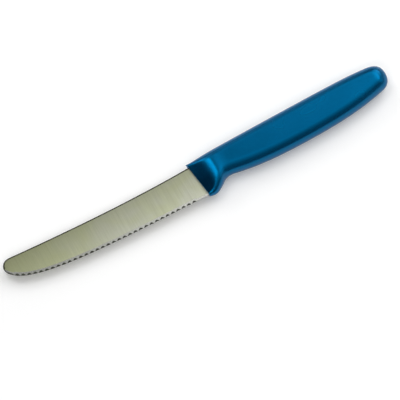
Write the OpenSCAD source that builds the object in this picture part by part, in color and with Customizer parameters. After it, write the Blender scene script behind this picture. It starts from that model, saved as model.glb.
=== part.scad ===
// Round-tip table knife with a wavy edge and a moulded handle, lying on its side, in millimetres.
// The blade points along -X, its spine looks along +Y, and its ground side looks up.
// The origin is under the middle of the knife's box, on the surface that the handle lies on.

/* [Blade] */
// Length of the blade in front of the handle
blade_len = 110; // [98:1:150]
// Height of the blade where it leaves the handle
blade_h = 18.1; // [15:0.1:24]
// Thickness of the spine at the handle, and of the tang
spine_t = 1.3; // [0.8:0.1:2.4]
// Thickness along the edge before it is sharpened
edge_t = 0.56; // [0.3:0.02:0.7]
// Depth of the long hollow in the spine
spine_dip = 1.25; // [0:0.05:2.5]
// Rise of the spine from the handle to the tip
spine_rise = 0.8; // [0:0.05:3]
// Length of the rounded corner between the spine and the foremost point
corner_len = 5; // [3:0.5:9]
// Height of the foremost point above the edge
nose_h = 14.3; // [10:0.1:16]
// Length of the sweep that lifts the edge to the foremost point
sweep_len = 92; // [60:1:96]

/* [Edge] */
// Thickness left at the points between the waves
sharp_t = 0.11; // [0.05:0.01:0.2]
// Slope of the bevel that sharpens one side
bevel_angle = 16.5; // [12:0.5:20]
// Distance from wave to wave along the edge
wave_pitch = 3.1; // [2:0.01:6]
// Depth of a wave, seen from the plain side of the blade
wave_depth = 0.15; // [0.1:0.05:0.4]
// Slope of the grind that cuts the waves into the bevel
wave_angle = 26; // [24:1:45]
// Plain edge between the waves and the handle
plain_heel = 5.8; // [3:0.1:20]
// Plain edge between the waves and the foremost point
plain_nose = 5.5; // [4:0.5:20]
// Width of the bevel along the plain edge at the handle
heel_bevel_w = 0.9; // [0.5:0.1:1.4]
// Width of the bevel round the tip
tip_bevel_w = 0.6; // [0.3:0.1:1]
// Width of the waves' grind where it runs on plain round the tip
tip_grind_w = 0.45; // [0.2:0.05:0.6]

/* [Tang] */
// Length of the tang behind the front of the handle
tang_len = 78; // [40:1:88]
// Width of the tang
tang_w = 9; // [7:0.5:10]
// Diameter of the holes that the handle's plastic fills
plug_d = 5; // [3:0.5:6]
// Number of those holes
plug_count = 3; // [1:1:4]
// Depth to which the full height of the blade enters the handle
heel_in = 3.5; // [2.5:0.1:4.5]
// Gap round the steel in the moulded handle
mould_gap = 0.02; // [0:0.01:0.05]

/* [Handle] */
// Length of the handle on its middle line
handle_len = 113.2; // [100:0.2:140]
// Height of the handle at its fullest
handle_h = 20.4; // [18:0.1:26]
// Thickness of the handle between its flat sides
handle_t = 12; // [9:0.5:16]
// How far the waist behind the guard lies below the flat sides
waist_dip = 0.27; // [0:0.01:0.8]
// Thickness of the front face round the blade
front_t = 3.4; // [3:0.1:6]
// Lean of the front face, seen from the side of the blade
front_lean = 7.3; // [0:0.1:15]
// How far the front face stands above the spine
spine_step = 1.65; // [0.8:0.05:3]
// How far the front face stands below the edge
edge_step = 0.95; // [0.4:0.05:2]
// Length over which the front swells to the full thickness
swell_len = 11.2; // [8:0.1:16]
// Length of the guard in front of the finger recess
guard_len = 18; // [14:0.5:26]
// Rounding of the long edges, seen from the flat side
edge_round = 5.5; // [3:0.1:7]
// Length of the rounding at the top of the butt
butt_top_len = 9.7; // [7:0.1:20]
// Length of the rounding at the bottom of the butt
butt_low_len = 4.6; // [4:0.1:16]
// Length over which the butt thins out to its end
butt_thin_len = 7; // [4:0.5:14]

/* [Hidden] */

// Overrun of every cut past what it cuts
overrun = 1;

// Shares of the blade's outline
dip_place_share = 0.41;
corner_flat_share = 0.3;
corner_side_share = 0.45;
sweep_drop_share = 0.31;
sweep_pull_share = 0.1;
sweep_lift_share = 0.355;
sweep_hold_share = 0.12;

// Places along the handle, as shares of its length, and heights there, as shares of its height
top_shares = [
    [0, 0.527], [0.12, 0.577], [0.27, 0.604], [0.42, 0.628], [0.6, 0.655],
    [0.77, 0.674], [0.87, 0.668], [1, 0.624]
];
low_shares = [
    [0, -0.134], [0.1, -0.165], [0.19, -0.261], [0.28, -0.325], [0.38, -0.357],
    [0.5, -0.357], [0.62, -0.335], [0.74, -0.285], [0.86, -0.187], [1, 0.001]
];
// How much of the guard's flare is left, along the guard
flare_shares = [
    [0, 1], [0.18, 1.034], [0.32, 0.964], [0.45, 0.791], [0.57, 0.582], [0.7, 0.294], [0.84, 0.102], [1, 0]
];
// How much of the swell from the front face to the flat sides is done, along the swell
swell_shares = [
    [0, 0], [0.25, 0.32], [0.49, 0.628], [0.625, 0.78], [0.76, 0.903], [0.85, 0.96], [0.93, 0.99], [1, 1]
];
// How much of the waist's dip there is, along the handle
waist_shares = [
    [0, 0], [0.099, 0], [0.111, 0.2], [0.128, 0.62], [0.142, 0.86], [0.159, 1],
    [0.177, 0.95], [0.212, 0.6], [0.248, 0.2], [0.283, 0], [1, 0]
];
// Length of a wave on the plain side, as a share of the pitch, and how far each cut along the edge runs
// into the next one
wave_share = 0.51;
overlap_share = 1.2;
butt_end_share = 0.262;
tang_share = 0.2;
butt_top_power = 3.1;
butt_low_power = 2.2;
butt_thin_power = 2.2;

// Rings and points of the handle's skin
swell_rings = 20;
body_rings = 18;
butt_rings = 14;
edge_facets = 12;
// Points along each curve of the blade's outline
curve_points = 24;
$fn = 48;

// Main lines
spine_y = blade_h / 2;
edge_y = -blade_h / 2;
tip_y = spine_y + spine_rise;
front_top = spine_y + spine_step;
front_low = edge_y - edge_step;
tang_y = tang_share * handle_h;
butt_y = butt_end_share * handle_h;
// Level stretch of the spine in front of the handle, which reaches past the leaning front face
heel_level = front_top * tan(front_lean) + overrun;

// Point on the curve that a list of control points pulls, from 0 at its start to 1 at its end
function bezier(c, u) =
    len(c) == 1 ? c[0] : bezier([for (i = [0:len(c) - 2]) c[i] * (1 - u) + c[i + 1] * u], u);

// Curve of n + 1 points
function curve(c, n) = [for (i = [0:n]) bezier(c, i / n)];

// A list without its first item
function after_first(v) = [for (i = [1:len(v) - 1]) v[i]];

// Slope of a table of places and heights at its row i
function slope_at(t, i) =
    let (a = max(i - 1, 0), b = min(i + 1, len(t) - 1)) (t[b][1] - t[a][1]) / (t[b][0] - t[a][0]);

// Row of a table whose interval holds the place p
function row_of(t, p, i = 0) = i >= len(t) - 2 || p < t[i + 1][0] ? i : row_of(t, p, i + 1);

// Height of the smooth curve through a table at the place p
function share_at(t, p) =
    let (
        i = row_of(t, p),
        w = t[i + 1][0] - t[i][0],
        u = min(max((p - t[i][0]) / w, 0), 1),
        rise = slope_at(t, i) * w,
        fall = slope_at(t, i + 1) * w
    )
    (2 * u ^ 3 - 3 * u ^ 2 + 1) * t[i][1] + (u ^ 3 - 2 * u ^ 2 + u) * rise
    + (3 * u ^ 2 - 2 * u ^ 3) * t[i + 1][1] + (u ^ 3 - u ^ 2) * fall;

// Blade outline, measured forwards from the front of the handle
nose = [blade_len, edge_y + nose_h];
spine_end = [blade_len - corner_len, tip_y];
spine_pull = [
    dip_place_share * blade_len, spine_y + dip_place_share * spine_rise - 2 * spine_dip
];
spine_curve = curve([[heel_level, spine_y], spine_pull, spine_end], curve_points);
corner_curve = curve([
    spine_end,
    [blade_len - corner_flat_share * corner_len, tip_y],
    [blade_len, nose.y + corner_side_share * (tip_y - nose.y)],
    nose
], curve_points);
sweep_curve = curve([
    nose,
    [blade_len, nose.y - sweep_drop_share * nose_h],
    [blade_len - sweep_pull_share * sweep_len, edge_y + sweep_lift_share * nose_h],
    [blade_len - sweep_hold_share * sweep_len, edge_y],
    [blade_len - sweep_len, edge_y]
], 2 * curve_points);
blade_outline = concat(
    [[-heel_in, spine_y]],
    spine_curve, after_first(corner_curve), after_first(sweep_curve),
    [[-heel_in, edge_y]]
);

// The edge from the end of the heel to the foremost point, and how far along it each of its points lies
edge_path = concat([[-heel_in, edge_y]], [for (i = [len(sweep_curve) - 1:-1:0]) sweep_curve[i]]);
function run_to(i) = i == 0 ? 0 : run_to(i - 1) + norm(edge_path[i] - edge_path[i - 1]);
edge_runs = [for (i = [0:len(edge_path) - 1]) run_to(i)];
edge_x = [for (i = [0:len(edge_path) - 1]) [edge_runs[i], edge_path[i].x]];
edge_up = [for (i = [0:len(edge_path) - 1]) [edge_runs[i], edge_path[i].y]];
function edge_point(s) = [lookup(s, edge_x), lookup(s, edge_up)];

// Waves, from the plain stretch at the handle to the plain stretch at the tip
edge_end = edge_runs[len(edge_runs) - 1];
wave_start = heel_in + plain_heel;
wave_count = floor((edge_end - plain_nose - wave_start) / wave_pitch);
wave_end = wave_start + wave_count * wave_pitch;
wave_sag = wave_depth * sin(wave_angle);
wave_r = ((wave_share * wave_pitch / 2) ^ 2 + wave_sag ^ 2) / (2 * wave_sag);
wave_w = wave_pitch * overlap_share;
// The grind round the tip, which runs out towards the foremost point in this many flats
tip_flats = 8;
bevel_w = (edge_t - sharp_t) / tan(bevel_angle);
grind_reach = spine_t / sin(bevel_angle) + overrun;

// Thickness of the steel between its ground faces at the height y
function steel_t(y) = edge_t + (spine_t - edge_t) * (y - edge_y) / blade_h;

// How much of the handle is still there at a distance x behind the front: 1, then down to 0 at the butt
function closing(x, reach, power) =
    let (u = max(x - handle_len + reach, 0) / reach) (1 - min(u, 1) ^ power) ^ (1 / power);

// Height of one long side of the handle: its smooth line, which the guard's flare leads to the front face
function side_line(x, shares, front) =
    handle_h * share_at(shares, x / handle_len)
    + (front - handle_h * shares[0][1]) * (x > guard_len ? 0 : share_at(flare_shares, x / guard_len));
function top_rail(x) =
    butt_y + (side_line(x, top_shares, front_top) - butt_y) * closing(x, butt_top_len, butt_top_power);
function low_rail(x) =
    butt_y + (side_line(x, low_shares, front_low) - butt_y) * closing(x, butt_low_len, butt_low_power);

// Half thickness of the handle, with the swell behind the front face and the waist behind the swell
function swell(x) = front_t + (handle_t - front_t) * min(share_at(swell_shares, min(x / swell_len, 1)), 1);
function waist(x) = waist_dip * max(share_at(waist_shares, x / handle_len), 0);
function half_t(x) = (swell(x) / 2 - waist(x)) * closing(x, butt_thin_len, butt_thin_power);

// Rounding of the long edges, which grows from the front face with the thickness
function round_at(x) = min(edge_round * swell(x) / handle_t, (top_rail(x) - low_rail(x)) / 2);

// Places of the handle's rings, closest at the swell and at the butt
butt_start = handle_len - butt_top_len;
ring_places = concat(
    [for (i = [0:swell_rings]) guard_len * i / swell_rings],
    [for (i = [1:body_rings]) guard_len + (butt_start - guard_len) * i / body_rings],
    [for (i = [1:butt_rings - 1]) butt_start + butt_top_len * sin(90 * i / butt_rings) ^ (2 / butt_top_power)]
);

// The front rings lean with the front face, and the lean dies out along the guard
function lean_at(x) = tan(front_lean) * max(1 - x / guard_len, 0) ^ 2;

// One ring: round the top edge from the upper flat side to the lower one, and back round the bottom edge
function ring(x) =
    let (
        top = top_rail(x), low = low_rail(x), half = half_t(x), r = round_at(x),
        turns = [for (i = [0:edge_facets]) 90 - 180 * i / edge_facets],
        section = concat(
            [for (a = turns) [top - r + r * cos(a), half * sin(a)]],
            [for (a = turns) [low + r - r * cos(a), -half * sin(a)]]
        )
    )
    [for (p = section) [x - p[0] * lean_at(x), p[0], p[1]]];

skin_rings = [for (x = ring_places) ring(x)];
skin_points = concat([for (r = skin_rings) for (p = r) p], [[handle_len, butt_y, 0]]);
high_y = max([for (p = skin_points) p.y]);
low_y = min([for (p = skin_points) p.y]);

// Places the knife: the middle of its box over the origin, and its lower flat side on the surface
module in_place() {
    translate([(blade_len - handle_len) / 2, -(high_y + low_y) / 2, handle_t / 2]) children();
}

// A skin through rings of n points each, closed by a flat front and by one last point
module skin(points, n) {
    rings = (len(points) - 1) / n;
    apex = len(points) - 1;
    polyhedron(points = points, faces = concat(
        [[for (i = [0:n - 1]) i]],
        [for (k = [0:rings - 2]) for (i = [0:n - 1]) [k * n + i, (k + 1) * n + i, k * n + (i + 1) % n]],
        [for (k = [0:rings - 2]) for (i = [0:n - 1])
            [(k + 1) * n + i, (k + 1) * n + (i + 1) % n, k * n + (i + 1) % n]],
        [for (i = [0:n - 1]) [(rings - 1) * n + i, apex, (rings - 1) * n + (i + 1) % n]]
    ));
}

// Space between the two ground faces, which close in from the spine to the edge, grown by g all round
module ground_faces(reach, g = 0) {
    far = blade_len + overrun;
    edge_half = edge_t / 2 + g;
    tip_half = steel_t(tip_y) / 2 + g;
    translate([-far, 0, 0]) rotate([90, 0, 90]) linear_extrude(height = far + reach)
        polygon([
            [edge_y - g, -edge_half], [edge_y - g, edge_half], [tip_y + g, tip_half], [tip_y + g, -tip_half]
        ]);
}

// The heel of the blade inside the handle, grown by g, with its front end at the place from
module heel(from, g = 0) {
    intersection() {
        ground_faces(heel_in + g, g);
        translate([from, edge_y - g, -spine_t])
            cube([heel_in + g - from, blade_h + 2 * g, 2 * spine_t]);
    }
}

// The tang with its round end and its holes, grown by g, which starts half way through the heel
module tang(g = 0) {
    end_r = tang_w / 2;
    root = heel_in / 2;
    hole_gap = (tang_len - heel_in) / (plug_count + 1);
    translate([0, tang_y, 0]) difference() {
        translate([0, 0, -spine_t / 2 - g]) linear_extrude(height = spine_t + 2 * g) union() {
            translate([root - g, -end_r - g]) square([tang_len - end_r - root + g, tang_w + 2 * g]);
            translate([tang_len - end_r, 0]) circle(r = end_r + g);
        }
        for (i = [1:plug_count])
            translate([heel_in + hole_gap * i, 0, 0])
                cylinder(d = plug_d - 2 * g, h = spine_t + 2 * overrun, center = true);
    }
}

// A ground cut over the edge from the place a to the place b, which rises at an angle into the upper face
// from a line that lies deep inside the outline, and high above a level that is edge_t below that face; its
// profile is drawn across that line
module ground_cut(a, b, angle, deep, high) {
    chord = edge_point(b) - edge_point(a);
    middle = edge_point((a + b) / 2);
    translate([-middle.x, middle.y, high + steel_t(middle.y) / 2 - edge_t])
        rotate([0, 0, atan2(chord.x, chord.y)])
        translate([deep, 0, 0])
        rotate([0, -angle, 0])
        rotate([90, 0, 90])
        translate([0, 0, -grind_reach])
        linear_extrude(height = 2 * grind_reach) children();
}

// One round cut of the wavy edge
module wave_cut(i) {
    a = wave_start + i * wave_pitch;
    ground_cut(a, a + wave_pitch, wave_angle, wave_depth, 0) intersection() {
        translate([0, wave_r]) circle(r = wave_r);
        translate([-wave_w / 2, -overrun]) square([wave_w, overrun + wave_r]);
    }
}

// One flat cut from the place a to the place b
module flat_cut(a, b, angle, deep, high) {
    w = (b - a) * overlap_share;
    ground_cut(a, b, angle, deep, high) translate([-w / 2, 0]) square([w, spine_t + overrun]);
}

// The bevel: a flat from inside the handle to the waves, and one for each wave
module bevel_cuts() {
    flat_cut(heel_in / 2, wave_start, bevel_angle, heel_bevel_w - bevel_w, sharp_t);
    for (i = [0:wave_count - 1])
        flat_cut(wave_start + i * wave_pitch, wave_start + (i + 1) * wave_pitch, bevel_angle, 0, sharp_t);
}

// Round the tip the bevel narrows, and the waves' grind runs on plain below it
module tip_cuts() {
    run = (edge_end - wave_end) / tip_flats;
    for (i = [0:tip_flats - 1]) {
        a = wave_end + i * run;
        left = 1 - (i / tip_flats) ^ 4;
        grind_w = tip_grind_w * left;
        deep = (tip_bevel_w + tip_grind_w) * left - bevel_w;
        border_z = sharp_t + (grind_w - deep) * tan(bevel_angle);
        flat_cut(a, a + run, bevel_angle, deep, sharp_t);
        flat_cut(a, a + run, wave_angle, 0, border_z - grind_w * tan(wave_angle));
    }
}

module blade() {
    color([0.72, 0.72, 0.66]) in_place() difference() {
        union() {
            intersection() {
                translate([0, 0, -spine_t]) linear_extrude(height = 2 * spine_t)
                    polygon([for (p = blade_outline) [-p.x, p.y]]);
                ground_faces(heel_in);
            }
            tang();
        }
        for (i = [0:wave_count - 1]) wave_cut(i);
        bevel_cuts();
        tip_cuts();
    }
}

module handle() {
    color([0.03, 0.36, 0.56]) in_place() difference() {
        skin(skin_points, 2 * (edge_facets + 1));
        heel(-heel_level, mould_gap);
        tang(mould_gap);
    }
}

blade();
handle();
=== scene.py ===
"""A round-tip table knife with a wavy edge, lying on its side on white paper.

Lengths are in metres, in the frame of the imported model: the blade points along -X, its spine looks along +Y
and its ground side looks up.
"""

import logging
import math
from collections.abc import Callable
from dataclasses import dataclass, field
from enum import Enum

import bmesh
import bpy
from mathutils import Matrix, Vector


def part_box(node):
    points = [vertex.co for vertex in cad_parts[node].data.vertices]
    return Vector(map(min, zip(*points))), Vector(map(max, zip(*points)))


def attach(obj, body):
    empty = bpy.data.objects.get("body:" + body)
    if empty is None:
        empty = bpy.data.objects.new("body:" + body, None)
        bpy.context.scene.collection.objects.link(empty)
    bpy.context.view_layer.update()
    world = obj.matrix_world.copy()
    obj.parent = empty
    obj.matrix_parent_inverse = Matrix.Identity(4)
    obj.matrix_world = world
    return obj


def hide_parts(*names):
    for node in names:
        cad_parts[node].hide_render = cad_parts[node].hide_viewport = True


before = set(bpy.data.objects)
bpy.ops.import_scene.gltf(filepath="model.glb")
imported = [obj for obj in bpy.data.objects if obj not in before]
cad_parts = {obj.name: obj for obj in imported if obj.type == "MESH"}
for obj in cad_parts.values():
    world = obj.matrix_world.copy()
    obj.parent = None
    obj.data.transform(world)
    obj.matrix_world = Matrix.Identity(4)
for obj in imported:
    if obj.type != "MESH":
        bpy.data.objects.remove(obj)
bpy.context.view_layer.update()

LOG = logging.getLogger("knife")
MM = 0.001
Pair = tuple[float, float]
Table = tuple[Pair, ...]
Place = tuple[float, float, float]
Marks = tuple[float, float, float]
Colour = tuple[float, float, float]
BLACK: Colour = (0.0, 0.0, 0.0)
WHITE: Colour = (1.0, 1.0, 1.0)


# Curves


def smooth_through(table: Table, place: float) -> float:
    """Reads the smooth curve through a table of places and heights.

    Args:
        table: Rows of a place and the height there, in rising order of place.
        place: Where the height is wanted; past the ends it is the end's height.

    Returns:
        The height at the place.
    """

    def slope(row: int) -> float:
        """Slope of the table at one of its rows."""
        a, b = max(row - 1, 0), min(row + 1, len(table) - 1)
        return (table[b][1] - table[a][1]) / (table[b][0] - table[a][0])

    i = 0
    while i < len(table) - 2 and place >= table[i + 1][0]:
        i += 1
    width = table[i + 1][0] - table[i][0]
    u = min(max((place - table[i][0]) / width, 0.0), 1.0)
    ease = u * u * (3 - 2 * u)
    return (
        (1 - ease) * table[i][1]
        + ease * table[i + 1][1]
        + (u**3 - 2 * u**2 + u) * slope(i) * width
        + (u**3 - u**2) * slope(i + 1) * width
    )


def closing(place: float, length: float, reach: float, power: float) -> float:
    """How much of a form is left where it closes towards its end.

    Args:
        place: Distance from the start of the form.
        length: Length of the form.
        reach: Length of the stretch that closes.
        power: How square the closed end is.

    Returns:
        1 before the stretch, and down to 0 at the end.
    """
    u = min(max((place - length + reach) / reach, 0.0), 1.0)
    return (1 - u**power) ** (1 / power)


# Work on meshes


class Modeller:
    """Work in edit mode on one new mesh: it picks the vertices and edges for the operators that follow."""

    def __init__(self, piece: bpy.types.Object) -> None:
        """Takes up a piece.

        Args:
            piece: The piece to work on, which has to be the active object.
        """
        self.piece = piece
        bpy.ops.object.mode_set(mode="EDIT")
        bpy.ops.mesh.select_mode(type="VERT")

    def mesh(self) -> bmesh.types.BMesh:
        """The mesh as it is being edited."""
        return bmesh.from_edit_mesh(self.piece.data)

    def picked(self) -> list[int]:
        """Numbers of the vertices that are selected."""
        return [v.index for v in self.mesh().verts if v.select]

    def pick(self, numbers: list[int]) -> None:
        """Selects these vertices and nothing else.

        Args:
            numbers: Numbers of the vertices.
        """
        bpy.ops.mesh.select_all(action="DESELECT")
        work = self.mesh()
        work.verts.ensure_lookup_table()
        for number in numbers:
            work.verts[number].select = True
        work.select_flush_mode()
        bmesh.update_edit_mesh(self.piece.data)

    def pick_edges(self, rule: Callable[[bmesh.types.BMEdge], bool]) -> int:
        """Selects the edges that the rule takes, and nothing else.

        Args:
            rule: Says whether an edge is taken.

        Returns:
            How many edges are selected.
        """
        bpy.ops.mesh.select_mode(type="EDGE")
        bpy.ops.mesh.select_all(action="DESELECT")
        work = self.mesh()
        work.normal_update()
        taken = [e for e in work.edges if rule(e)]
        for edge in taken:
            edge.select_set(True)
        work.select_flush_mode()
        bmesh.update_edit_mesh(self.piece.data)
        return len(taken)

    def finish(self) -> bpy.types.Object:
        """Leaves edit mode and hands the piece back."""
        bpy.ops.object.mode_set(mode="OBJECT")
        return self.piece


def lone(piece: bpy.types.Object) -> None:
    """Makes a piece the active object and the only one that is selected.

    Args:
        piece: The piece.
    """
    bpy.ops.object.select_all(action="DESELECT")
    piece.select_set(True)
    bpy.context.view_layer.objects.active = piece


# Shaders


@dataclass
class Graph:
    """A node tree, with short ways to add nodes and to join them."""

    tree: bpy.types.NodeTree

    def add(self, kind: str, **settings: object) -> bpy.types.Node:
        """Adds a node.

        Args:
            kind: The node's type, without the leading ShaderNode.
            **settings: Properties of the node, or the values of its inputs by their names with _ for a space.

        Returns:
            The new node.
        """
        node = self.tree.nodes.new(kind if kind.startswith("Node") else f"ShaderNode{kind}")
        for name, value in settings.items():
            if hasattr(node, name):
                setattr(node, name, value)
            else:
                node.inputs[name.replace("_", " ")].default_value = value
        return node

    def join(self, source: bpy.types.NodeSocket, target: bpy.types.NodeSocket) -> None:
        """Joins an output to an input."""
        self.tree.links.new(source, target)

    def ramp(self, source: bpy.types.NodeSocket, span: Pair, values: Pair) -> bpy.types.NodeSocket:
        """Maps a span of a value onto other values, and keeps the end values outside it.

        Args:
            source: The value.
            span: Where the ramp starts and ends.
            values: What it gives there.

        Returns:
            The socket with the mapped value.
        """
        node = self.add("MapRange", From_Min=span[0], From_Max=span[1], To_Min=values[0], To_Max=values[1])
        self.join(source, node.inputs["Value"])
        return node.outputs["Result"]

    def spread(
        self, pattern: bpy.types.NodeSocket, low: float, high: float, reach: float = 0.25
    ) -> bpy.types.NodeSocket:
        """Maps the middle of a pattern, which runs from 0 to 1, onto the values from low to high.

        Args:
            pattern: The pattern.
            low: Value at the pattern's dark end.
            high: Value at its bright end.
            reach: How far the ends lie from the pattern's middle.

        Returns:
            The socket with the mapped value.
        """
        return self.ramp(pattern, (0.5 - reach, 0.5 + reach), (low, high))

    def reckon(
        self, operation: str, first: bpy.types.NodeSocket, second: bpy.types.NodeSocket | float | None = None
    ) -> bpy.types.NodeSocket:
        """Works out a value from one or two others.

        Args:
            operation: The Math node's operation.
            first: The first value.
            second: The second value, as a socket or as a number, if the operation has one.

        Returns:
            The socket with the result.
        """
        node = self.add("Math", operation=operation)
        self.join(first, node.inputs[0])
        if isinstance(second, bpy.types.NodeSocket):
            self.join(second, node.inputs[1])
        elif second is not None:
            node.inputs[1].default_value = second
        return node.outputs[0]

    def times(self, first: bpy.types.NodeSocket, second: bpy.types.NodeSocket) -> bpy.types.NodeSocket:
        """Multiplies two values."""
        return self.reckon("MULTIPLY", first, second)

    def shaded(self, colour: bpy.types.NodeSocket, shade: bpy.types.NodeSocket) -> bpy.types.NodeSocket:
        """Multiplies a colour by a value.

        Args:
            colour: The colour.
            shade: The value.

        Returns:
            The socket with the shaded colour.
        """
        node = self.add("VectorMath", operation="SCALE")
        self.join(colour, node.inputs[0])
        self.join(shade, node.inputs["Scale"])
        return node.outputs[0]

    def blend(
        self, share: bpy.types.NodeSocket, low: Colour | bpy.types.NodeSocket, high: Colour
    ) -> bpy.types.NodeSocket:
        """Mixes two colours.

        Args:
            share: How much of the second colour there is.
            low: The first colour, or a socket that gives it.
            high: The second colour.

        Returns:
            The socket with the mixed colour.
        """
        node = self.add("Mix", data_type="RGBA")
        self.join(share, node.inputs["Factor"])
        if isinstance(low, bpy.types.NodeSocket):
            self.join(low, node.inputs[6])
        else:
            node.inputs[6].default_value = (*low, 1.0)
        node.inputs[7].default_value = (*high, 1.0)
        return node.outputs[2]


class Grain:
    """A shader node group that every finish here uses: noise drawn out by a number of marks per metre."""

    NAME = "drawn_grain"
    COARSENESS = 0.55

    @classmethod
    def group(cls) -> bpy.types.NodeTree:
        """Builds the group once.

        Returns:
            The group, which is the same each time.
        """
        if cls.NAME in bpy.data.node_groups:
            return bpy.data.node_groups[cls.NAME]
        tree = bpy.data.node_groups.new(cls.NAME, "ShaderNodeTree")
        for name, kind in (("Place", "Vector"), ("Marks", "Vector"), ("Detail", "Float"), ("Warp", "Float")):
            tree.interface.new_socket(name, in_out="INPUT", socket_type=f"NodeSocket{kind}")
        tree.interface.new_socket("Value", in_out="OUTPUT", socket_type="NodeSocketFloat")
        graph = Graph(tree)
        given = graph.add("NodeGroupInput")
        result = graph.add("NodeGroupOutput")
        drawn = graph.add("VectorMath", operation="MULTIPLY")
        noise = graph.add("TexNoise", Scale=1.0, Roughness=cls.COARSENESS)
        graph.join(given.outputs["Place"], drawn.inputs[0])
        graph.join(given.outputs["Marks"], drawn.inputs[1])
        graph.join(drawn.outputs[0], noise.inputs["Vector"])
        graph.join(given.outputs["Detail"], noise.inputs["Detail"])
        graph.join(given.outputs["Warp"], noise.inputs["Distortion"])
        graph.join(noise.outputs["Fac"], result.inputs["Value"])
        return tree

    @classmethod
    def place(
        cls, graph: Graph, where: bpy.types.NodeSocket, marks: Marks, detail: float, warp: float
    ) -> bpy.types.NodeSocket:
        """Puts the group into a material.

        Args:
            graph: The material's graph.
            where: The places that the grain is drawn on.
            marks: Marks per metre along each axis.
            detail: How many finer layers there are.
            warp: How far the marks wander.

        Returns:
            The grain's socket, from 0 to 1 and mostly near the middle.
        """
        node = graph.add("Group", node_tree=cls.group())
        graph.join(where, node.inputs["Place"])
        node.inputs["Marks"].default_value = marks
        node.inputs["Detail"].default_value = detail
        node.inputs["Warp"].default_value = warp
        return node.outputs["Value"]


@dataclass
class Surface:
    """A new material with its Principled shader, and the object's own places to draw patterns on."""

    graph: Graph
    shader: bpy.types.Node
    where: bpy.types.NodeSocket
    material: bpy.types.Material

    @classmethod
    def new(cls, name: str, **values: object) -> "Surface":
        """Starts a material.

        Args:
            name: The material's name.
            **values: Values of the shader's own sockets, by their names with _ for a space.

        Returns:
            The surface to add patterns to.
        """
        material = bpy.data.materials.new(name)
        material.use_nodes = True
        graph = Graph(material.node_tree)
        graph.tree.nodes.clear()
        shader = graph.add("BsdfPrincipled", **values)
        output = graph.add("OutputMaterial")
        graph.join(shader.outputs["BSDF"], output.inputs["Surface"])
        where = graph.add("TexCoord").outputs["Object"]
        return cls(graph, shader, where, material)

    def axis(self, name: str) -> bpy.types.NodeSocket:
        """Picks out one coordinate of the object's own places.

        Args:
            name: X, Y or Z.

        Returns:
            The socket with the coordinate, in metres.
        """
        parts = self.graph.add("SeparateXYZ")
        self.graph.join(self.where, parts.inputs[0])
        return parts.outputs[name]

    def grain(self, marks: Marks, detail: float = 2.0, warp: float = 0.0) -> bpy.types.NodeSocket:
        """Draws grain on the object's own places, with that many marks per metre on each axis."""
        return Grain.place(self.graph, self.where, marks, detail, warp)

    def paint(self, colour: bpy.types.NodeSocket) -> None:
        """Gives the surface its colour."""
        self.graph.join(colour, self.shader.inputs["Base Color"])

    def roughen(self, pattern: bpy.types.NodeSocket, middle: float, play: float) -> None:
        """Lets the roughness follow a pattern, by the play to either side of the middle."""
        rough = self.graph.spread(pattern, middle - play, middle + play)
        self.graph.join(rough, self.shader.inputs["Roughness"])

    def bump(self, height: bpy.types.NodeSocket, strength: float, depth: float) -> None:
        """Raises the surface by a pattern.

        Args:
            height: The pattern.
            strength: How much of the relief shows.
            depth: Height of the pattern from dark to bright, in metres.
        """
        node = self.graph.add("Bump", Strength=strength, Distance=depth)
        self.graph.join(height, node.inputs["Height"])
        self.graph.join(node.outputs["Normal"], self.shader.inputs["Normal"])


# Finishes


@dataclass(frozen=True)
class GroundSteel:
    """Satin steel, ground across the blade from spine to edge, with painted shade and light: lighter towards
    the edge and the handle, darker towards the spine and the tip.
    """

    name: str = "ground_steel"
    dark: Colour = (0.27, 0.288, 0.15)
    light: Colour = (0.296, 0.304, 0.243)
    # Painted light and shade: the steel is lightened towards the edge and the handle and darkened towards the
    # spine and the tip.
    painted_shade_edge_to_spine: Pair = (1.28, 0.74)
    painted_shade_tip_to_handle: Pair = (0.8, 1.14)
    painted_light_share: Pair = (0.35, 1.4)
    patch_share: Pair = (0.4, 1.0)
    patch_reach: float = 0.2
    patch_warp: float = 0.4
    patch_marks: Marks = (48.0, 70.0, 70.0)
    streak: float = 0.08
    streak_marks: Marks = (850.0, 45.0, 45.0)
    roughness: float = 0.46
    roughness_play: float = 0.06
    line_marks: Marks = (6500.0, 90.0, 90.0)
    line_detail: float = 3.0
    line_strength: float = 0.35
    line_depth: float = 0.012 * MM

    def material(self) -> bpy.types.Material:
        """Makes the material.

        Returns:
            The material.
        """
        surface = Surface.new(self.name, Metallic=1.0)
        graph = surface.graph
        lines = surface.grain(self.line_marks, self.line_detail)
        streaks = surface.grain(self.streak_marks)
        patches = surface.grain(self.patch_marks, warp=self.patch_warp)
        low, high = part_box("blade")
        # Painted shade across and along the blade; only the patches, streaks and lines are marks of the steel
        # itself.
        across = graph.ramp(surface.axis("Y"), (low.y, high.y), self.painted_shade_edge_to_spine)
        along = graph.ramp(surface.axis("X"), (low.x, 0.0), self.painted_shade_tip_to_handle)
        pale = graph.ramp(surface.axis("X"), (low.x, 0.0), self.painted_light_share)
        patchy = graph.spread(patches, *self.patch_share, reach=self.patch_reach)
        share = graph.times(patchy, graph.times(across, pale))
        streaky, fine = (
            graph.spread(pattern, 1.0 - self.streak, 1.0 + self.streak) for pattern in (streaks, lines)
        )
        shade = graph.times(graph.times(streaky, fine), graph.times(across, along))
        surface.paint(graph.shaded(graph.blend(share, self.dark, self.light), shade))
        surface.roughen(streaks, self.roughness, self.roughness_play)
        surface.bump(lines, self.line_strength, self.line_depth)
        return surface.material


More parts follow.
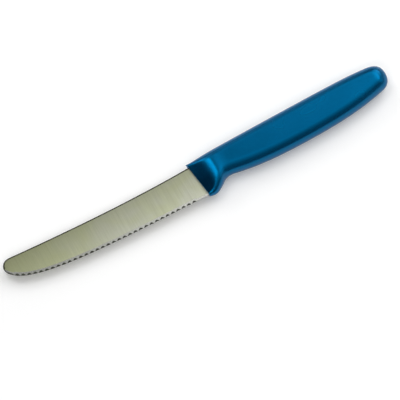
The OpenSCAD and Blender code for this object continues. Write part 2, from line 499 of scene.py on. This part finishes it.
@dataclass(frozen=True)
class HonedSteel:
    """Steel left bright by the honing of the bevel, with painted shade that darkens it towards the tip; made
    near-black, the same finish serves as painted shade on the waves.
    """

    name: str = "honed_steel"
    dark: Colour = (0.58, 0.59, 0.53)
    light: Colour = (0.78, 0.79, 0.74)
    # Painted shade: the bevel is darkened towards the tip.
    painted_shade_tip_to_handle: Pair = (0.4, 1.0)
    roughness: float = 0.24
    roughness_play: float = 0.05
    line_marks: Marks = (7000.0, 400.0, 400.0)
    line_strength: float = 0.25
    line_depth: float = 0.006 * MM

    def material(self) -> bpy.types.Material:
        """Makes the material.

        Returns:
            The material.
        """
        surface = Surface.new(self.name, Metallic=1.0)
        graph = surface.graph
        lines = surface.grain(self.line_marks)
        colour = graph.blend(graph.spread(lines, 0.0, 1.0), self.dark, self.light)
        # Painted shade along the bevel, darker towards the tip.
        along = graph.ramp(surface.axis("X"), (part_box("blade")[0].x, 0.0), self.painted_shade_tip_to_handle)
        surface.paint(graph.shaded(colour, along))
        surface.roughen(lines, self.roughness, self.roughness_play)
        surface.bump(lines, self.line_strength, self.line_depth)
        return surface.material


# Painted shade: the wave faces get near-black steel, far darker than the steel itself, to stand for the dark
# they mirror.
WAVE_STEEL_PAINTED_SHADE = HonedSteel(
    name="wave_steel_painted_shade",
    dark=(0.05, 0.052, 0.042),
    light=(0.09, 0.092, 0.075),
    painted_shade_tip_to_handle=(1.0, 1.0),
    roughness=0.3,
)


@dataclass(frozen=True)
class SpineSteelPaintedShade:
    """Steel of the rounded spine, made near-black as painted shade, darker than the ground sides, with marks
    that run along it.
    """

    name: str = "spine_steel_painted_shade"
    # Painted shade: near-black steel, and a dark edge tint that dims its grazing reflection.
    dark: Colour = (0.03, 0.03, 0.02)
    light: Colour = (0.055, 0.055, 0.04)
    painted_dark_edge_tint: Colour = (0.3, 0.3, 0.25)
    roughness: float = 0.4
    roughness_play: float = 0.06
    line_marks: Marks = (260.0, 2600.0, 5200.0)
    line_detail: float = 3.0
    line_strength: float = 0.3
    line_depth: float = 0.01 * MM

    def material(self) -> bpy.types.Material:
        """Makes the material.

        Returns:
            The material.
        """
        surface = Surface.new(self.name, Metallic=1.0, Specular_Tint=(*self.painted_dark_edge_tint, 1.0))
        graph = surface.graph
        lines = surface.grain(self.line_marks, self.line_detail)
        surface.paint(graph.blend(graph.spread(lines, 0.0, 1.0), self.dark, self.light))
        surface.roughen(lines, self.roughness, self.roughness_play)
        surface.bump(lines, self.line_strength, self.line_depth)
        return surface.material


@dataclass(frozen=True)
class BluePlastic:
    """Satin blue plastic with the fine grain of its mould."""

    name: str = "blue_plastic"
    dark: Colour = (0.0, 0.002, 0.011)
    light: Colour = (0.0, 0.003, 0.015)
    sheen_tint: Colour = (0.0, 0.44, 1.0)
    specular: float = 1.0
    ior: float = 2.0
    roughness: float = 0.26
    roughness_play: float = 0.02
    grain_marks: Marks = (2600.0, 2600.0, 2600.0)
    grain_strength: float = 0.3
    grain_depth: float = 0.02 * MM
    patch_marks: Marks = (70.0, 110.0, 110.0)
    patch_detail: float = 1.0

    def material(self) -> bpy.types.Material:
        """Makes the material.

        Returns:
            The material.
        """
        surface = Surface.new(
            self.name, IOR=self.ior, Specular_IOR_Level=self.specular, Specular_Tint=(*self.sheen_tint, 1.0)
        )
        graph = surface.graph
        grain = surface.grain(self.grain_marks)
        patches = surface.grain(self.patch_marks, self.patch_detail)
        surface.paint(graph.blend(graph.spread(patches, 0.0, 1.0), self.dark, self.light))
        surface.roughen(patches, self.roughness, self.roughness_play)
        surface.bump(grain, self.grain_strength, self.grain_depth)
        return surface.material


@dataclass(frozen=True)
class WhitePaper:
    """Plain white paper, with painted light: it glows a little towards camera and mirror rays, and more so
    away from the knife, so that a wide painted shade lies round the knife's shadow.
    """

    name: str = "white_paper"
    dark: Colour = (0.95, 0.95, 0.95)
    light: Colour = (0.97, 0.97, 0.97)
    # Painted light: glow near the knife and far from it.
    painted_light_glow: Pair = (0.075, 0.15)
    shadow_middle: float = -6 * MM
    shadow_half: Pair = (13 * MM, 60 * MM)
    fibre_marks: Marks = (1500.0, 1500.0, 1500.0)

    def material(self) -> bpy.types.Material:
        """Makes the material.

        Returns:
            The material.
        """
        surface = Surface.new(
            self.name, Roughness=1.0, Specular_IOR_Level=0.0, Emission_Color=(*WHITE, 1.0)
        )
        graph = surface.graph
        fibres = surface.grain(self.fibre_marks)
        surface.paint(graph.blend(graph.spread(fibres, 0.0, 1.0), self.dark, self.light))
        away = graph.reckon("ABSOLUTE", graph.reckon("SUBTRACT", surface.axis("Y"), self.shadow_middle))
        # Painted light, weaker near the knife and stronger away from it.
        painted_light_glow = graph.ramp(away, self.shadow_half, self.painted_light_glow)
        rays = graph.add("LightPath")
        seen = graph.reckon("MAXIMUM", rays.outputs["Is Camera Ray"], rays.outputs["Is Glossy Ray"])
        seen = graph.reckon("MAXIMUM", seen, rays.outputs["Is Transmission Ray"])
        graph.join(graph.times(seen, painted_light_glow), surface.shader.inputs["Emission Strength"])
        return surface.material


# The knife


class Side(Enum):
    """The two long edges of the handle."""

    TOP = 1
    LOW = -1


@dataclass(frozen=True)
class Section:
    """A section of the handle: a half round at the top and one at the bottom, with flats between them."""

    place: float
    top: float
    low: float
    half: float
    round: float

    def centre(self, side: Side) -> float:
        """Height of the centre of one half round."""
        return self.top - self.round if side is Side.TOP else self.low + self.round


@dataclass
class Handle:
    """The plastic handle, drawn ring by ring from its front face to the butt, with the tang's pocket."""

    length: float = 113.2 * MM
    height: float = 20.4 * MM
    thickness: float = 12 * MM
    front_thickness: float = 3.4 * MM
    front_lean: float = math.radians(7.3)
    front_top: float = 10.7 * MM
    front_low: float = -10 * MM
    waist_dip: float = 0.27 * MM
    swell_length: float = 11.2 * MM
    guard_length: float = 18 * MM
    edge_round: float = 5.5 * MM
    butt_top: float = 9.7 * MM
    butt_low: float = 4.6 * MM
    butt_thin: float = 7 * MM
    butt_share: float = 0.262
    butt_end: float = 0.35
    top_power: float = 3.1
    low_power: float = 2.2
    thin_power: float = 2.2
    lip_round: float = 0.25 * MM
    lip_steps: int = 3
    lip_weight: float = 1.0
    mouth_weight: float = 0.4
    mouth_depth: float = 1 * MM
    heel_half_height: float = 9.07 * MM
    heel_half_spine: float = 0.67 * MM
    heel_half_edge: float = 0.3 * MM
    heel_depth: float = 3.5 * MM
    tang_middle: float = 4.08 * MM
    tang_half_width: float = 4.52 * MM
    tang_half: float = 0.67 * MM
    tang_length: float = 78 * MM
    pocket_corner: float = 0.06 * MM
    swell_rings: int = 18
    body_rings: int = 16
    butt_rings: int = 12
    facets: int = 24
    smoothing: int = 2
    side_reach: float = 0.01
    side_gap: float = 0.002
    crease: float = math.radians(50)
    top_line: Table = (
        (0, 0.527), (0.12, 0.577), (0.27, 0.604), (0.42, 0.628),
        (0.6, 0.655), (0.77, 0.674), (0.87, 0.668), (1, 0.624)
    )
    low_line: Table = (
        (0, -0.134), (0.1, -0.165), (0.19, -0.261), (0.28, -0.325), (0.38, -0.357),
        (0.5, -0.357), (0.62, -0.335), (0.74, -0.285), (0.86, -0.187), (1, 0.001)
    )
    flare: Table = (
        (0, 1), (0.18, 1.034), (0.32, 0.964), (0.45, 0.791),
        (0.57, 0.582), (0.7, 0.294), (0.84, 0.102), (1, 0)
    )
    swell_line: Table = (
        (0, 0), (0.25, 0.32), (0.49, 0.628), (0.625, 0.78),
        (0.76, 0.903), (0.85, 0.96), (0.93, 0.99), (1, 1)
    )
    waist_line: Table = (
        (0, 0), (0.099, 0), (0.111, 0.2), (0.128, 0.62), (0.142, 0.86), (0.159, 1),
        (0.177, 0.95), (0.212, 0.6), (0.248, 0.2), (0.283, 0), (1, 0)
    )
    front: Vector = field(init=False)

    def __post_init__(self) -> None:
        """Finds the middle of the front face from the handle's place in the part."""
        low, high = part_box("handle")
        tallest = max(self.section(x).top for x in self.places())
        self.front = Vector((high.x - self.length, high.y - tallest, (low.z + high.z) / 2))

    def side_line(self, x: float, line: Table, front: float) -> float:
        """Height of one long side before the butt closes it.

        Args:
            x: Distance behind the front.
            line: The side's line from the front to the butt, in shares of the handle's length and height.
            front: Height of the side at the front.

        Returns:
            The height there.
        """
        flare = 0.0 if x > self.guard_length else smooth_through(self.flare, x / self.guard_length)
        plain = self.height * smooth_through(line, x / self.length)
        return plain + (front - self.height * line[0][1]) * flare

    def section(self, x: float) -> Section:
        """Works out the section at one place along the handle.

        Args:
            x: Distance behind the front.

        Returns:
            The section there, closed in where the butt rounds off.
        """
        butt = self.butt_share * self.height
        top = self.side_line(x, self.top_line, self.front_top)
        low = self.side_line(x, self.low_line, self.front_low)
        top = butt + (top - butt) * closing(x, self.length, self.butt_top, self.top_power)
        low = butt + (low - butt) * closing(x, self.length, self.butt_low, self.low_power)
        grown = min(smooth_through(self.swell_line, min(x / self.swell_length, 1)), 1)
        swell = self.front_thickness + (self.thickness - self.front_thickness) * grown
        waist = self.waist_dip * max(smooth_through(self.waist_line, x / self.length), 0)
        half = (swell / 2 - waist) * closing(x, self.length, self.butt_thin, self.thin_power)
        return Section(x, top, low, half, min(self.edge_round * swell / self.thickness, (top - low) / 2))

    def places(self) -> list[float]:
        """Places the rings, closest at the swell and at the butt.

        Returns:
            Distances of the rings behind the front, in rising order.
        """
        butt_start = self.length - self.butt_top
        front = [self.guard_length * i / self.swell_rings for i in range(self.swell_rings + 1)]
        span = butt_start - self.guard_length
        body = [self.guard_length + span * i / self.body_rings for i in range(1, self.body_rings + 1)]
        turns = [math.sin(math.pi / 2 * i / self.butt_rings) for i in range(1, self.butt_rings)]
        return front + body + [butt_start + self.butt_top * turn ** (2 / self.top_power) for turn in turns]

    def lean(self, x: float) -> float:
        """Lean of a ring, which dies out along the guard."""
        return math.atan(math.tan(self.front_lean) * max(1 - x / self.guard_length, 0) ** 2)

    def build(self) -> bpy.types.Object:
        """Models the handle.

        Returns:
            The finished piece.
        """
        sections = [self.section(x) for x in self.places()]
        radius = sections[0].half
        bpy.ops.object.select_all(action="DESELECT")
        bpy.ops.mesh.primitive_circle_add(
            vertices=self.facets, radius=radius, location=self.front, rotation=(0, math.pi / 2, 0)
        )
        piece = bpy.context.active_object
        piece.name = piece.data.name = "handle_shell"
        bpy.ops.object.transform_apply(location=True, rotation=True, scale=True)
        work = Modeller(piece)
        self._part_sides(work, radius)
        rings = [self._shape(work, Section(0.0, radius, -radius, radius, radius), sections[0])]
        for was, now in zip(sections, sections[1:]):
            rings.append(self._extrude(work, was, now))
        self._close_butt(work)
        mouth = self._pocket(work, rings[0], sections[0])
        for ring, section in zip([*rings, *mouth], [*sections, sections[0], sections[0]]):
            self._lean_ring(work, ring, self.lean(section.place))
        self._finish_skin(work, rings[0], mouth[0])
        return work.finish()

    def _part_sides(self, work: Modeller, radius: float) -> None:
        """Parts the two side points of the first ring, so that each half round has its own ends.

        Args:
            work: The mesh.
            radius: Radius of the ring.
        """
        reach = radius * self.side_reach
        work.pick([v.index for v in work.mesh().verts if abs(v.co.y - self.front.y) < reach])
        bpy.ops.mesh.bevel(offset=radius * self.side_gap, affect="VERTICES", segments=1)
        bpy.ops.mesh.select_all(action="SELECT")

    def _half(self, work: Modeller, ring: list[int], split: float, side: Side) -> list[int]:
        """The vertices of a ring that belong to one of its half rounds.

        Args:
            work: The mesh.
            ring: Numbers of the ring's vertices.
            split: Height of the border between the halves.
            side: Which half is wanted.

        Returns:
            Numbers of the half's vertices.
        """
        verts = work.mesh().verts
        verts.ensure_lookup_table()
        return [i for i in ring if (verts[i].co.y - split) * side.value > 0]

    def _shape(self, work: Modeller, was: Section, now: Section) -> list[int]:
        """Gives the selected ring its section.

        Args:
            work: The mesh.
            was: The section that the ring has.
            now: The section that it is to have.

        Returns:
            Numbers of the ring's vertices.
        """
        ring = work.picked()
        split = self.front.y + (was.centre(Side.TOP) + was.centre(Side.LOW)) / 2
        halves = {side: self._half(work, ring, split, side) for side in Side}
        x = self.front.x + now.place
        for side, numbers in halves.items():
            work.pick(numbers)
            bpy.ops.transform.resize(
                value=(1, now.round / was.round, now.half / was.half),
                center_override=(x, self.front.y + was.centre(side), self.front.z),
            )
            bpy.ops.transform.translate(value=(0, now.centre(side) - was.centre(side), 0))
        work.pick(ring)
        return ring

    def _extrude(self, work: Modeller, was: Section, now: Section) -> list[int]:
        """Draws the selected ring out to the next section, and returns the new ring's vertices."""
        bpy.ops.mesh.extrude_edges_move(TRANSFORM_OT_translate={"value": (now.place - was.place, 0, 0)})
        return self._shape(work, was, now)

    def _close_butt(self, work: Modeller) -> None:
        """Draws the last ring together at the end of the butt.

        Args:
            work: The mesh, with the last ring selected.
        """
        ring = work.picked()
        end = (self.front.x + self.length, self.front.y + self.butt_share * self.height, self.front.z)
        verts = work.mesh().verts
        verts.ensure_lookup_table()
        here = verts[ring[0]].co.x
        bpy.ops.mesh.extrude_edges_move(TRANSFORM_OT_translate={"value": (end[0] - here, 0, 0)})
        bpy.ops.transform.resize(value=(1, self.butt_end, self.butt_end), center_override=end)
        bpy.ops.mesh.edge_face_add()

    def _pocket(self, work: Modeller, front_ring: list[int], front: Section) -> list[list[int]]:
        """Draws the front face inwards to the slot, and the slot on to the end of the tang.

        Args:
            work: The mesh.
            front_ring: The first ring of the skin.
            front: Its section.

        Returns:
            The slot's mouth, and the ring just behind it.
        """
        corner = self.pocket_corner
        tall, spine, edge = self.heel_half_height, self.heel_half_spine, self.heel_half_edge
        high, low = self.tang_middle + self.tang_half_width, self.tang_middle - self.tang_half_width
        steps = [
            front,
            Section(0.0, tall, -tall, spine, corner),
            Section(self.mouth_depth, tall, -tall, spine, corner),
            Section(self.heel_depth, tall, -tall, spine, corner),
            Section(self.heel_depth, high, low, self.tang_half, corner),
            Section(self.tang_length, high, low, self.tang_half, corner),
        ]
        work.pick(front_ring)
        mouth, behind, heel, *_ = [self._extrude(work, was, now) for was, now in zip(steps, steps[1:])]
        bpy.ops.mesh.edge_face_add()
        for ring in (mouth, behind, heel):
            work.pick(self._half(work, ring, self.front.y, Side.LOW))
            bpy.ops.transform.resize(value=(1, 1, edge / spine), center_override=self.front)
        return [mouth, behind]

    def _lean_ring(self, work: Modeller, ring: list[int], angle: float) -> None:
        """Leans a ring with the front face, about the knife's middle line.

        Args:
            work: The mesh.
            ring: Numbers of the ring's vertices.
            angle: The lean, in radians.
        """
        if angle == 0:
            return
        work.pick(ring)
        verts = work.mesh().verts
        verts.ensure_lookup_table()
        centre = (verts[ring[0]].co.x, self.front.y, self.front.z)
        bpy.ops.transform.resize(value=(1, 1 / math.cos(angle), 1), center_override=centre)
        bpy.ops.transform.rotate(value=-angle, orient_axis="Z", orient_type="GLOBAL", center_override=centre)

    def _finish_skin(self, work: Modeller, lip: list[int], mouth: list[int]) -> None:
        """Rounds the lip of the front face and smooths the skin.

        Args:
            work: The mesh.
            lip: Numbers of the vertices round the front face.
            mouth: Numbers of the vertices round the slot's mouth.
        """
        for ring, weight in ((lip, self.lip_weight), (mouth, self.mouth_weight)):
            numbers = set(ring)
            work.pick_edges(lambda e: {e.verts[0].index, e.verts[1].index} <= numbers)
            bpy.ops.transform.edge_bevelweight(value=weight)
        bpy.ops.mesh.select_mode(type="VERT")
        bpy.ops.mesh.select_all(action="SELECT")
        bpy.ops.mesh.normals_make_consistent(inside=False)
        piece = work.finish()
        lip_bevel = piece.modifiers.new("lip", "BEVEL")
        lip_bevel.limit_method = "WEIGHT"
        lip_bevel.width = self.lip_round
        lip_bevel.segments = self.lip_steps
        skin = piece.modifiers.new("skin", "SUBSURF")
        skin.levels = skin.render_levels = self.smoothing
        for name in ("lip", "skin"):
            bpy.ops.object.modifier_apply(modifier=name)
        bpy.ops.object.shade_smooth_by_angle(angle=self.crease)

    def dress(self, piece: bpy.types.Object, plastic: bpy.types.Material) -> None:
        """Gives the handle its finish and its place in the part.

        Args:
            piece: The handle.
            plastic: Its material.
        """
        piece.data.materials.clear()
        piece.data.materials.append(plastic)
        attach(piece, "root")
        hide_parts("handle")


class Flank(Enum):
    """The blade's two sides: the one with the waves ground into it, and the plain one."""

    GROUND = 1
    PLAIN = -1


class Ground(Enum):
    """The blade's kinds of faces, one for each way in which they were ground, each with its own finish; the
    waves' and the spine's finishes are painted shade.
    """

    SIDE = 0
    BEVEL = 1
    WAVE = 2
    SPINE = 3


@dataclass
class Blade:
    """The steel blade: the ground blank with its spine broken round."""

    ground_round: float = 0.85 * MM
    plain_round: float = 0.1 * MM
    round_steps: int = 5
    round_profile: float = 0.5
    weld: float = 0.002 * MM
    flat_limit: float = math.radians(0.1)
    crease: float = math.radians(30)
    hidden_cut: float = -0.1 * MM
    cut_slack: float = 0.01 * MM
    flat_normal: float = 0.9925
    bevel_normal: float = 0.93
    side_normal: float = 0.3
    nose_normal: float = -0.35
    edge_normal: float = -0.1
    honed_normal: float = 0.5

    def build(self) -> bpy.types.Object:
        """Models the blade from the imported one.

        Returns:
            The finished piece.
        """
        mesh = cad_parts["blade"].data.copy()
        piece = bpy.data.objects.new("blade_steel", mesh)
        bpy.context.scene.collection.objects.link(piece)
        mesh.name = "blade_steel"
        lone(piece)
        if mesh.has_custom_normals:
            bpy.ops.mesh.customdata_custom_splitnormals_clear()
        work = Modeller(piece)
        bpy.ops.mesh.select_all(action="SELECT")
        bpy.ops.mesh.remove_doubles(threshold=self.weld)
        bpy.ops.mesh.dissolve_limited(angle_limit=self.flat_limit)
        bpy.ops.mesh.select_all(action="SELECT")
        bpy.ops.mesh.bisect(plane_co=(self.hidden_cut, 0, 0), plane_no=(1, 0, 0))
        self._round_spine(work, Flank.GROUND, self.ground_round)
        self._round_spine(work, Flank.PLAIN, self.plain_round)
        work.finish()
        bpy.ops.object.shade_smooth_by_angle(angle=self.crease)
        self._keep_flats(Modeller(piece))
        return piece

    def _round_spine(self, work: Modeller, flank: Flank, radius: float) -> None:
        """Rounds one long corner of the spine, from inside the handle round the tip's upper corner.

        Args:
            work: The mesh.
            flank: The side that the corner belongs to.
            radius: Radius of the round.
        """
        low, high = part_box("blade")
        middle = (low.y + high.y) / 2
        end = self.hidden_cut + self.cut_slack

        def on_spine(edge: bmesh.types.BMEdge) -> bool:
            """Says whether an edge lies between that side and the spine.

            Args:
                edge: The edge.

            Returns:
                Whether it is one of the long corner's edges.
            """
            if len(edge.link_faces) != 2:
                return False
            side, flat = sorted(edge.link_faces, key=lambda f: abs(f.normal.z))
            above = all(v.co.y > middle and v.co.x < end for v in edge.verts)
            corner = abs(side.normal.z) < self.side_normal and flat.normal.z * flank.value > self.flat_normal
            return corner and above and side.normal.y > self.nose_normal

        count = work.pick_edges(on_spine)
        LOG.info("spine edges on the %s side: %d", flank.name.lower(), count)
        bpy.ops.mesh.bevel(offset=radius, segments=self.round_steps, profile=self.round_profile)

    def _ground(self, face: bpy.types.MeshPolygon, nose: float) -> Ground:
        """Tells how a face was ground.

        Args:
            face: The face.
            nose: Height of the blade's foremost point.

        Returns:
            The kind of grinding.
        """
        if abs(face.normal.z) > self.flat_normal:
            return Ground.SIDE
        if face.center.y > nose:
            return Ground.SPINE
        return Ground.BEVEL if face.normal.z > self.bevel_normal else Ground.WAVE

    def _keep_flats(self, work: Modeller) -> None:
        """Shades the blade's sides, the bevel and the waves flat, so that their borders stay crisp.

        Args:
            work: The mesh.
        """
        bpy.ops.mesh.select_mode(type="FACE")
        bpy.ops.mesh.select_all(action="DESELECT")
        mesh = work.mesh()
        for face in mesh.faces:
            ground = abs(face.normal.z) > self.flat_normal
            honed = face.normal.y < self.edge_normal and abs(face.normal.z) > self.honed_normal
            face.select_set(ground or honed)
        bmesh.update_edit_mesh(work.piece.data)
        bpy.ops.mesh.faces_shade_flat()
        work.finish()

    def dress(self, piece: bpy.types.Object, finishes: dict[Ground, bpy.types.Material]) -> None:
        """Gives the blade its place in the part, and each of its faces the finish of its kind; the waves and
        the spine get finishes painted dark as painted shade.

        Args:
            piece: The blade.
            finishes: The material for each kind of face.
        """
        piece.data.materials.clear()
        for kind in Ground:
            piece.data.materials.append(finishes[kind])
        nose = min((v.co for v in piece.data.vertices), key=lambda place: place.x).y
        for face in piece.data.polygons:
            face.material_index = self._ground(face, nose).value
        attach(piece, "root")
        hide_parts("blade")


# The studio


@dataclass(frozen=True)
class Panel:
    """A soft lamp: an even white panel that glows on one side, and looks down unless it is told otherwise."""

    name: str
    place: Place
    width: float
    height: float
    radiance: float
    faces: Place = (0.0, 0.0, -1.0)

    def build(self) -> None:
        """Sets the lamp up."""
        lamp = bpy.data.lights.new(self.name, "AREA")
        lamp.shape = "RECTANGLE"
        lamp.size, lamp.size_y = self.width, self.height
        lamp.energy = self.radiance * math.pi * self.width * self.height
        holder = bpy.data.objects.new(self.name, lamp)
        holder.location = self.place
        holder.rotation_mode = "QUATERNION"
        holder.rotation_quaternion = Vector(self.faces).to_track_quat("-Z", "Y")
        bpy.context.scene.collection.objects.link(holder)


@dataclass
class Studio:
    """White paper, soft lamps overhead, pale low walls and a dark room."""

    floor_size: float = 6.0
    wall_glow: float = 0.6
    wall_top: Pair = (0.28, 0.45)
    front_glow: float = 0.25
    front_side: Pair = (-0.9, -0.72)
    panels: tuple[Panel, ...] = (
        Panel("rear_strip", (0.2, 0.8, 1.0), 1.6, 0.4, 1.2),
        Panel("left_sheet", (-0.34, 0.4, 1.0), 0.2, 0.4, 3.2),
        Panel("bright_strip", (-0.12, 0.4, 1.0), 0.24, 0.4, 4.1),
        Panel("dim_sheet", (0.1, 0.4, 1.0), 0.2, 0.4, 0.35),
        Panel("middle_sheet", (0.3, 0.4, 1.0), 0.2, 0.4, 0.8),
        Panel("right_strip", (0.5, 0.4, 1.0), 0.2, 0.4, 2.9),
        Panel("right_sheet", (0.8, 0.2, 1.0), 0.4, 0.8, 2.9),
        Panel("overhead_sheet", (0.0, 0.0, 1.0), 1.2, 0.4, 1.06),
        Panel("near_sheet", (0.2, -0.4, 1.0), 1.6, 0.4, 0.7),
        Panel("near_edge", (0.2, -0.85, 1.0), 1.6, 0.5, 0.45),
        Panel("front_sheet", (0.0, -1.7, 1.0), 2.4, 0.8, 0.4),
        Panel("near_right", (1.1, -0.7, 1.0), 0.6, 0.5, 1.8),
        Panel("near_left", (-0.8, -0.75, 1.0), 0.8, 0.5, 3.9),
        Panel("corner_right", (1.3, 1.0, 1.0), 1.0, 0.9, 2.8),
        Panel("corner_left", (-0.6, 1.2, 1.0), 0.6, 0.5, 4.0),
        Panel("rear_wall", (0.0, 1.3, 0.75), 0.9, 0.5, 1.15, faces=(0.0, -1.0, 0.0)),
        Panel("right_wall", (1.4, 0.0, 0.75), 2.0, 0.5, 0.9, faces=(-1.0, 0.0, 0.0)),
    )

    def build(self, paper: bpy.types.Material) -> None:
        """Lays the paper and lights the knife.

        Args:
            paper: The paper's material.
        """
        bpy.ops.object.select_all(action="DESELECT")
        bpy.ops.mesh.primitive_plane_add(size=self.floor_size, location=(0, 0, 0))
        floor = bpy.context.active_object
        floor.name = floor.data.name = "paper_floor"
        floor.data.materials.append(paper)
        for panel in self.panels:
            panel.build()
        self._room()
        bpy.context.scene.view_settings.view_transform = "Standard"

    def _room(self) -> None:
        """Makes the room: dark above pale walls, dim in front, and white where one looks past the paper."""
        world = bpy.data.worlds.new("room")
        world.use_nodes = True
        graph = Graph(world.node_tree)
        ways = graph.add("SeparateXYZ")
        graph.join(graph.add("TexCoord").outputs["Generated"], ways.inputs[0])
        below = graph.ramp(ways.outputs["Z"], self.wall_top, (1.0, 0.0))
        around = graph.ramp(ways.outputs["Y"], self.front_side, (self.front_glow, self.wall_glow))
        walls = graph.blend(graph.times(below, around), BLACK, WHITE)
        seen = graph.blend(graph.add("LightPath").outputs["Is Camera Ray"], walls, WHITE)
        graph.join(seen, world.node_tree.nodes["Background"].inputs["Color"])
        bpy.context.scene.world = world


@dataclass
class Viewpoint:
    """The photograph's point of view: far off, high above the edge's side and a little to the tip's side."""

    azimuth: float = math.radians(-28.92)
    elevation: float = math.radians(68)
    distance: float = 3.0
    target: Place = (-5.85 * MM, -10.98 * MM, 6.0 * MM)
    span: float = 204.28 * MM
    sensor: float = 36.0

    def build(self) -> None:
        """Sets the camera up."""
        flat = math.cos(self.elevation)
        back = Vector(
            (math.sin(self.azimuth) * flat, -math.cos(self.azimuth) * flat, math.sin(self.elevation))
        )
        data = bpy.data.cameras.new("photo_view")
        data.sensor_width = self.sensor
        data.lens = self.sensor * self.distance / self.span
        camera = bpy.data.objects.new("photo_view", data)
        camera.location = Vector(self.target) + back * self.distance
        camera.rotation_mode = "QUATERNION"
        camera.rotation_quaternion = (-back).to_track_quat("-Z", "Y")
        bpy.context.scene.collection.objects.link(camera)
        bpy.context.scene.camera = camera


def report(piece: bpy.types.Object) -> None:
    """Logs a piece's name and its count of faces."""
    LOG.info("%s: %d faces", piece.name, len(piece.data.polygons))


def main() -> None:
    """Builds the camera, the knife and its studio."""
    logging.basicConfig(level=logging.INFO, format="%(message)s")
    Viewpoint().build()
    blade = Blade()
    steel = blade.build()
    blade.dress(steel, {
        Ground.SIDE: GroundSteel().material(),
        Ground.BEVEL: HonedSteel().material(),
        Ground.WAVE: WAVE_STEEL_PAINTED_SHADE.material(),
        Ground.SPINE: SpineSteelPaintedShade().material(),
    })
    report(steel)
    handle = Handle()
    shell = handle.build()
    handle.dress(shell, BluePlastic().material())
    report(shell)
    Studio().build(WhitePaper().material())


if __name__ == "__main__":
    main()
